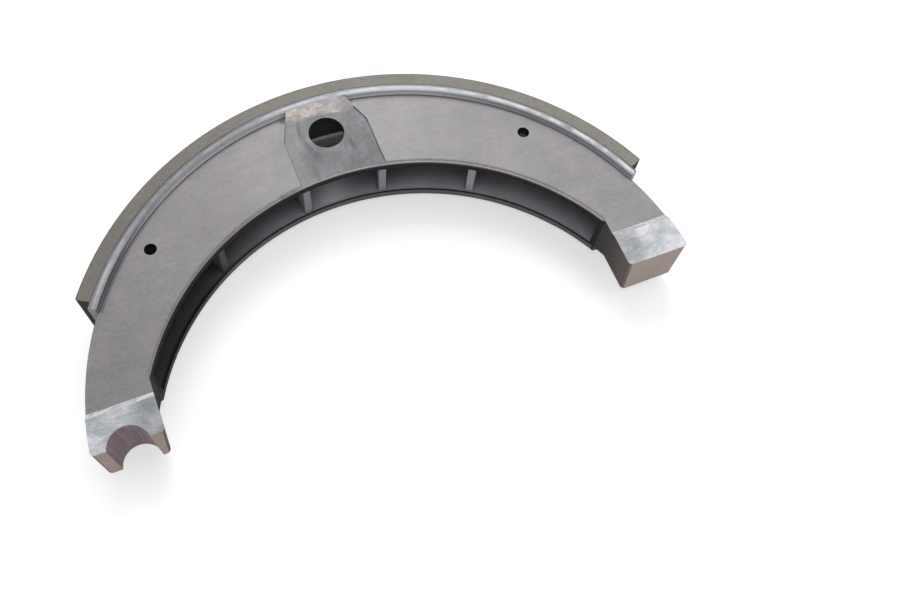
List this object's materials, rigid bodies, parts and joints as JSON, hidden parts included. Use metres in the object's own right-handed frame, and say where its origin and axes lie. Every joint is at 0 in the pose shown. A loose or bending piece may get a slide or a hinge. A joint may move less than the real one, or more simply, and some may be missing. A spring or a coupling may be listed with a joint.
{
  "type": "brake shoe",
  "caption": "Curved drum brake shoe: a cast channel with cross ribs, half-round anchor seat, flat cam foot and steady hole, with a friction lining bonded to its rim.",
  "frame": {"origin": "the drum's axis, in the plane of the lower flank that the shoe lies on", "axes": "+Z along the drum's axis, up from the lower flank; +Y from the drum's axis towards the steady hole, which is 1.5 mm beside it; -X towards the anchor end"},
  "size_m": [0.1856, 0.0955, 0.025],
  "materials": {
    "cast_alloy": "cast, milled on the pads",
    "lining": "ground friction compound"
  },
  "bodies": {
    "root": {"shoe_casting": "cast_alloy", "friction_lining": "lining"}
  },
  "joints": []
}
